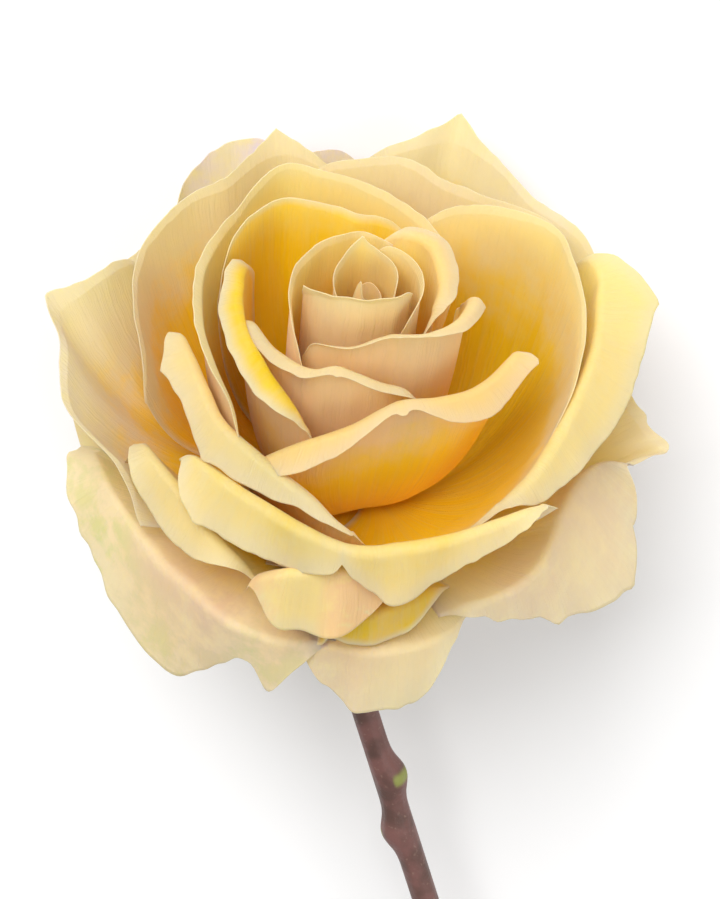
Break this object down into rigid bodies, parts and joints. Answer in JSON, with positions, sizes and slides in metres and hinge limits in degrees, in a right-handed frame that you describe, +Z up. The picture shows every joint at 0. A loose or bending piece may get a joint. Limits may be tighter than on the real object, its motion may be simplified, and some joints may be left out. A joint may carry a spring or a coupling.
{
  "type": "cut rose",
  "caption": "Cut garden rose in full bloom with layered petals, reflexed sepals and a bare woody stem, lying on a surface.",
  "frame": {"origin": "centre of the bounding box at the level of the surface the rose lies on", "axes": "+Z up; +Y along the rose from the cut end of the stem toward the bloom; +X toward the side that the stem swings to"},
  "size_m": [0.148, 0.3122, 0.0934],
  "materials": {
    "petal_heart": "soft matte petal, peach outside and deep yellow at the base",
    "petal": "soft matte petal, yellow with a creamy margin",
    "petal_outer": "soft matte petal, pale pinkish cream with greenish veins",
    "hip": "smooth waxy green",
    "crown": "powdery yellow",
    "sepal": "matte green leaf",
    "stem": "smooth reddish brown bark"
  },
  "bodies": {
    "root": {"petal_01": "petal_heart", "petal_02": "petal_heart", "petal_03": "petal_heart", "petal_04": "petal_heart", "petal_05": "petal_heart", "petal_06": "petal_heart", "petal_07": "petal_heart", "petal_08": "petal_heart", "petal_09": "petal_heart", "petal_10": "petal", "petal_11": "petal", "petal_12": "petal", "petal_13": "petal", "petal_14": "petal", "petal_15": "petal", "petal_16": "petal", "petal_17": "petal", "petal_18": "petal", "petal_19": "petal", "petal_20": "petal", "petal_21": "petal", "petal_22": "petal", "petal_23": "petal_outer", "petal_24": "petal", "petal_25": "petal_outer", "petal_26": "petal_outer", "petal_27": "petal_outer", "petal_28": "petal_outer", "petal_29": "petal_outer", "petal_30": "petal_outer", "hip": "hip", "crown": "crown", "sepal_1": "sepal", "sepal_2": "sepal", "sepal_3": "sepal", "sepal_4": "sepal", "sepal_5": "sepal", "stem": "stem"}
  },
  "joints": []
}
